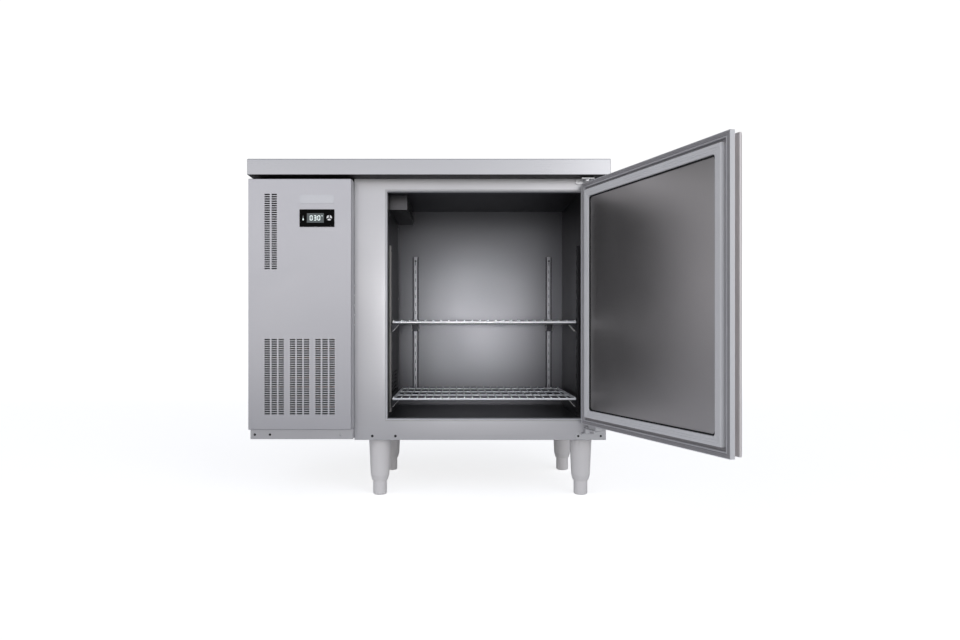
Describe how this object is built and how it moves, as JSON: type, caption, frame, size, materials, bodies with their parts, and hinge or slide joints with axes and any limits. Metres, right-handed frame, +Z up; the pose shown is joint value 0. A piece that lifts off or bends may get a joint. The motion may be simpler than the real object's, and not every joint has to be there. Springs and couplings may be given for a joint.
{
  "type": "undercounter refrigerator",
  "caption": "Shallow stainless undercounter refrigerator with a side machine compartment, wire shelves and a hinged door standing open.",
  "frame": {"origin": "centre of the worktop's top face", "axes": "+Z up, normal to the worktop; +X to the right seen from the front, along the longest extent; +Y to the back"},
  "size_m": [1.0506, 0.9067, 0.85],
  "materials": {
    "worktop_steel": "satin",
    "cabinet_steel": "satin",
    "liner_steel": "satin",
    "door_liner_steel": "satin",
    "wire_steel": "satin",
    "fitting_steel": "satin",
    "galvanised_sheet": "satin",
    "fin_aluminium": "satin",
    "handle_aluminium": "satin",
    "copper_tube": "satin",
    "black_enamel": "satin",
    "black_plastic": "satin",
    "frame_plastic": "satin",
    "leg_plastic": "satin",
    "button_plastic": "gloss",
    "gasket_rubber": "matte",
    "display_glass": "gloss",
    "insulation": "matte",
    "plywood": "matte"
  },
  "bodies": {
    "cabinet": {"worktop": "worktop_steel", "worktop_core": "plywood", "outer_shell": "cabinet_steel", "breaker_strip": "frame_plastic", "inner_liner": "liner_steel", "insulation_foam": "insulation", "evaporator_cover": "liner_steel", "fan_box": "liner_steel", "evaporator_coil": "fin_aluminium", "evaporator_fan_motor": "black_enamel", "machine_base": "cabinet_steel", "machine_side_panel": "cabinet_steel", "machine_back_panel": "galvanised_sheet", "machine_cover": "cabinet_steel", "display_bezel": "black_plastic", "display_lens": "display_glass", "condenser_coil": "fin_aluminium", "condenser_shroud": "galvanised_sheet", "condenser_fan_motor": "black_enamel", "compressor": "black_enamel", "discharge_pipe": "copper_tube", "suction_pipe": "copper_tube", "electrical_box": "galvanised_sheet", "cord_gland": "black_plastic", "drain_pan": "frame_plastic", "hinge_bracket_lower": "fitting_steel", "hinge_bracket_upper": "fitting_steel", "shelf_standard_front_left": "fitting_steel", "upper_clip_front_left": "fitting_steel", "lower_clip_front_left": "fitting_steel", "leg_sleeve_front_left": "leg_plastic", "shelf_standard_front_right": "fitting_steel", "upper_clip_front_right": "fitting_steel", "lower_clip_front_right": "fitting_steel", "leg_sleeve_front_right": "leg_plastic", "shelf_standard_rear_left": "fitting_steel", "upper_clip_rear_left": "fitting_steel", "lower_clip_rear_left": "fitting_steel", "leg_sleeve_rear_left": "leg_plastic", "shelf_standard_rear_right": "fitting_steel", "upper_clip_rear_right": "fitting_steel", "lower_clip_rear_right": "fitting_steel", "leg_sleeve_rear_right": "leg_plastic"},
    "door": {"door_gasket": "gasket_rubber", "door_inner_frame": "frame_plastic", "door_liner": "door_liner_steel", "door_skin": "cabinet_steel", "door_foam": "insulation", "door_handle_profile": "handle_aluminium", "door_hinge_plate_lower": "fitting_steel", "door_hinge_plate_upper": "fitting_steel"},
    "upper_shelf": {"upper_shelf": "wire_steel"},
    "lower_shelf": {"lower_shelf": "wire_steel"},
    "set_button": {"set_button": "button_plastic"},
    "condenser_fan": {"condenser_fan_blade": "fin_aluminium"},
    "evaporator_fan": {"evaporator_fan_blade": "black_plastic"},
    "foot_front_left": {"adjustable_foot_front_left": "leg_plastic"},
    "foot_front_right": {"adjustable_foot_front_right": "leg_plastic"},
    "foot_rear_left": {"adjustable_foot_rear_left": "leg_plastic"},
    "foot_rear_right": {"adjustable_foot_rear_right": "leg_plastic"}
  },
  "joints": [
    {"name": "door_hinge", "type": "hinge", "parent": "cabinet", "child": "door", "pos_m": [0.3976, -0.1913, -0.36], "axis": [0, 0, 1], "range_deg": [-110.8, 9.2]},
    {"name": "upper_shelf_lift", "type": "slide", "parent": "cabinet", "child": "upper_shelf", "axis": [0, 0, 1], "range_m": [0, 0.04]},
    {"name": "lower_shelf_lift", "type": "slide", "parent": "cabinet", "child": "lower_shelf", "axis": [0, 0, 1], "range_m": [0, 0.04]},
    {"name": "set_button_press", "type": "slide", "parent": "cabinet", "child": "set_button", "axis": [0, 1, 0], "range_m": [0, 0.0015], "stiffness_N_per_m": 400, "springref_m": -0.001},
    {"name": "condenser_fan_spin", "type": "hinge", "parent": "cabinet", "child": "condenser_fan", "pos_m": [-0.3225, -0.093, -0.545], "axis": [0, 1, 0], "continuous": true},
    {"name": "evaporator_fan_spin", "type": "hinge", "parent": "cabinet", "child": "evaporator_fan", "pos_m": [-0.124, 0.03, -0.19], "axis": [1, 0, 0], "continuous": true},
    {"name": "foot_front_left_screw_out", "type": "slide", "parent": "cabinet", "child": "foot_front_left", "axis": [0, 0, -1], "range_m": [0, 0.03]},
    {"name": "foot_front_right_screw_out", "type": "slide", "parent": "cabinet", "child": "foot_front_right", "axis": [0, 0, -1], "range_m": [0, 0.03]},
    {"name": "foot_rear_left_screw_out", "type": "slide", "parent": "cabinet", "child": "foot_rear_left", "axis": [0, 0, -1], "range_m": [0, 0.03]},
    {"name": "foot_rear_right_screw_out", "type": "slide", "parent": "cabinet", "child": "foot_rear_right", "axis": [0, 0, -1], "range_m": [0, 0.03]}
  ]
}
